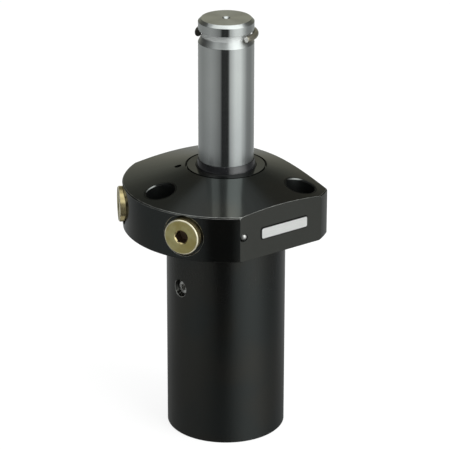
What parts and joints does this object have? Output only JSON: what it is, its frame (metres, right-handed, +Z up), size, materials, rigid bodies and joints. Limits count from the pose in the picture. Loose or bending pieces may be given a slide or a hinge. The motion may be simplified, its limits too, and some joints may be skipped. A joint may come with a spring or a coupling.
{
  "type": "swing clamp cylinder",
  "caption": "Black flanged hydraulic swing clamp cylinder: a chromed plunger that turns a quarter turn as it retracts, then pulls straight down to clamp.",
  "frame": {"origin": "on the rod's axis, at the underside of the flange, which is the mounting seat", "axes": "+Z up along the rod, out of the flange; the nameplate's flat faces -Y and the single trimmed flat faces +X"},
  "size_m": [0.0675, 0.0731, 0.1733],
  "materials": {
    "black_oxide": "satin black oxide on machined steel",
    "chrome_rod": "ground and hard chromed",
    "ring_steel": "oiled spring steel",
    "bright_steel": "bright machined",
    "yellow_zinc": "yellow passivated zinc",
    "seal_black": "smooth elastomer",
    "bronze": "turned bronze",
    "plate_aluminium": "fine brushed, bare"
  },
  "bodies": {
    "housing": {"body": "black_oxide", "gland": "black_oxide", "rod_wiper": "seal_black", "rod_seal": "seal_black", "gland_o_ring": "seal_black", "guide_key_screw": "bright_steel", "front_port_plug": "yellow_zinc", "rear_port_plug": "yellow_zinc", "front_plug_o_ring": "seal_black", "rear_plug_o_ring": "seal_black", "front_manifold_o_ring": "seal_black", "rear_manifold_o_ring": "seal_black", "rim_ball_plug": "bright_steel", "gallery_plug": "bright_steel", "nameplate": "plate_aluminium"},
    "guide": {"guide_sleeve": "bright_steel", "guide_balls": "bright_steel", "guide_spring": "bright_steel"},
    "piston": {"piston": "bright_steel", "piston_seal": "seal_black", "piston_wear_ring": "bronze", "piston_o_ring": "seal_black", "upper_thrust_washer": "bronze", "lower_thrust_washer": "bronze"},
    "rod": {"plunger_rod": "chrome_rod", "snap_ring": "ring_steel", "piston_nut": "bright_steel"}
  },
  "joints": [
    {"name": "clamp_stroke", "type": "slide", "parent": "housing", "child": "guide", "axis": [0, 0, -1], "range_m": [0, 0.0127]},
    {"name": "swing_stroke", "type": "slide", "parent": "guide", "child": "piston", "axis": [0, 0, -1], "range_m": [0, 0.0158], "deforming": ["guide_spring"]},
    {"name": "swing_turn", "type": "hinge", "parent": "piston", "child": "rod", "pos_m": [0, 0, 0], "axis": [0, 0, 1], "range_deg": [0, 90]}
  ],
  "couplings": [
    {"joint": "swing_turn", "follows": "swing_stroke", "rad_per_m": 99.41}
  ]
}
